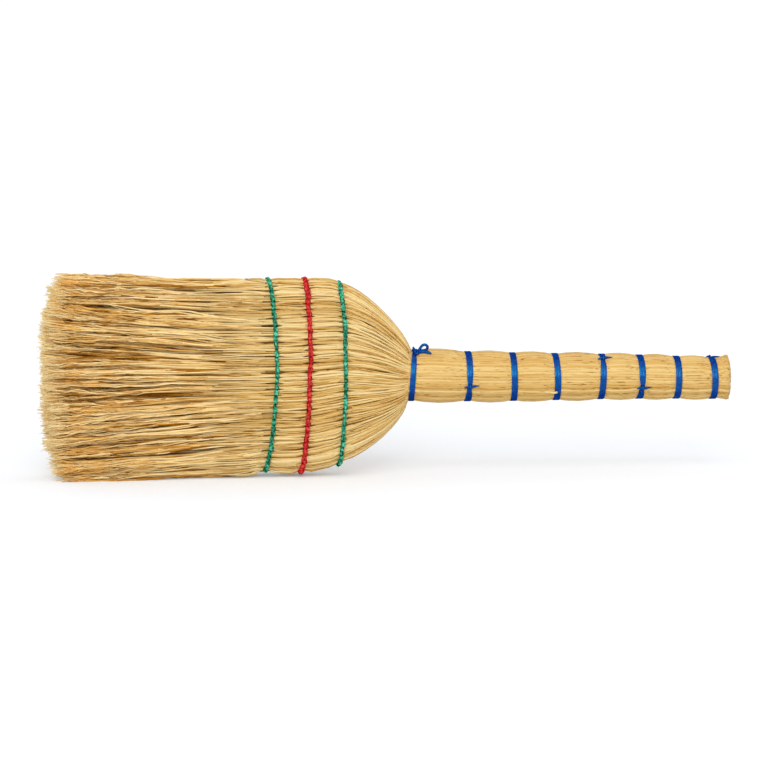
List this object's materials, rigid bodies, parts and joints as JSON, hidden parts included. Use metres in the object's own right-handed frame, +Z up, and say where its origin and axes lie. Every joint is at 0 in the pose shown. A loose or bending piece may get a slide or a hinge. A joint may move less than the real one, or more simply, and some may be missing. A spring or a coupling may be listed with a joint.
{
  "type": "sorghum broom",
  "caption": "Short sorghum hand broom: straw bound into a round handle with twine ties, fanned into a flat head sewn with coloured thread, with long free bristles.",
  "frame": {"origin": "under the middle of the broom, on the surface that its lower edge stands on", "axes": "+X along the broom towards the end of the handle, +Y through the thickness from the front face to the back, +Z up across the width of the head"},
  "size_m": [0.6, 0.0562, 0.1751],
  "materials": {
    "straw": "satin",
    "bristle_straw": "matte",
    "blue_twine": "gloss",
    "green_thread": "satin",
    "red_thread": "satin"
  },
  "bodies": {
    "root": {"front_straw_bundle_01": "straw", "front_straw_bundle_02": "straw", "front_straw_bundle_03": "straw", "front_straw_bundle_04": "straw", "front_straw_bundle_05": "straw", "front_straw_bundle_06": "straw", "front_straw_bundle_07": "straw", "front_straw_bundle_08": "straw", "front_straw_bundle_09": "straw", "front_straw_bundle_10": "straw", "back_straw_bundle_01": "straw", "back_straw_bundle_02": "straw", "back_straw_bundle_03": "straw", "back_straw_bundle_04": "straw", "back_straw_bundle_05": "straw", "back_straw_bundle_06": "straw", "back_straw_bundle_07": "straw", "back_straw_bundle_08": "straw", "back_straw_bundle_09": "straw", "back_straw_bundle_10": "straw", "handle_core_stalks": "straw", "head_core_straw": "straw", "lower_shoulder_straw": "straw", "upper_shoulder_straw": "straw", "lower_bristles": "bristle_straw", "lower_middle_bristles": "bristle_straw", "upper_middle_bristles": "bristle_straw", "upper_bristles": "bristle_straw", "neck_tie": "blue_twine", "second_tie": "blue_twine", "third_tie": "blue_twine", "fourth_tie": "blue_twine", "fifth_tie": "blue_twine", "sixth_tie": "blue_twine", "seventh_tie": "blue_twine", "end_tie": "blue_twine", "neck_bow": "blue_twine", "inner_green_stitching": "green_thread", "red_stitching": "red_thread", "outer_green_stitching": "green_thread"}
  },
  "joints": []
}
